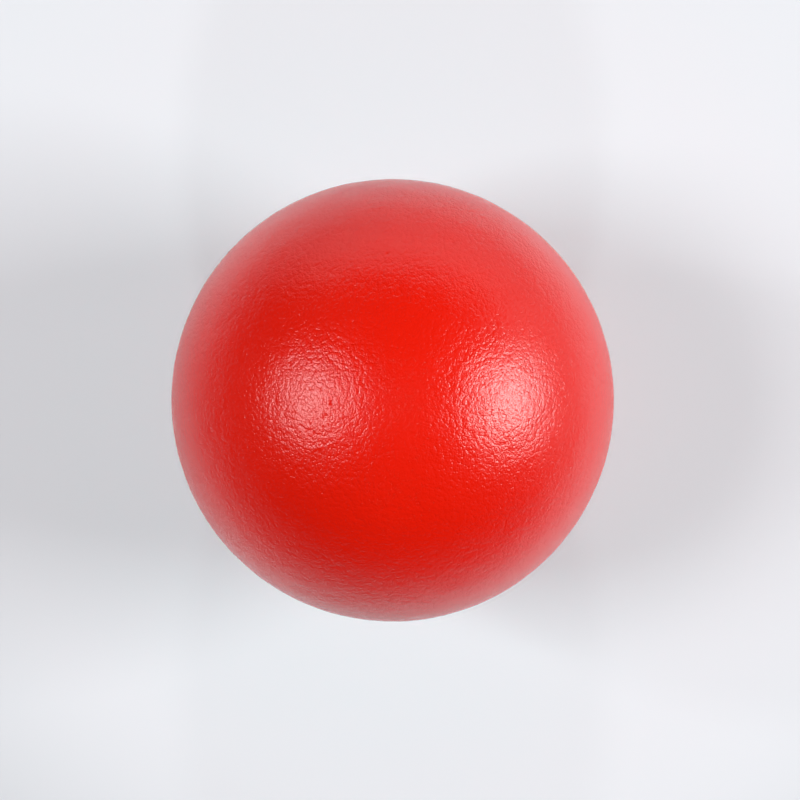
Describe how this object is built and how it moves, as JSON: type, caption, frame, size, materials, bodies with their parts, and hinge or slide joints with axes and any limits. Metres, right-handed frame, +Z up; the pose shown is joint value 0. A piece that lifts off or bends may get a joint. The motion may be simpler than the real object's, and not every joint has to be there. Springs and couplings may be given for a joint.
{
  "type": "coated foam ball",
  "caption": "Soft foam play ball for floor games: a round foam core in a smooth, finely grained sprayed skin, with a sealed pin hole and a small flat where it rests.",
  "frame": {"origin": "centre of the ball", "axes": "+Z up as the ball lies, with the resting patch facing -Z; +Y towards the side with the sealed pin hole"},
  "size_m": [0.072, 0.072, 0.0718],
  "materials": {
    "foam": "matte",
    "skin": "satin",
    "dab": "gloss"
  },
  "bodies": {
    "root": {"foam_core": "foam", "coated_skin": "skin", "sealing_dab": "dab"}
  },
  "joints": []
}
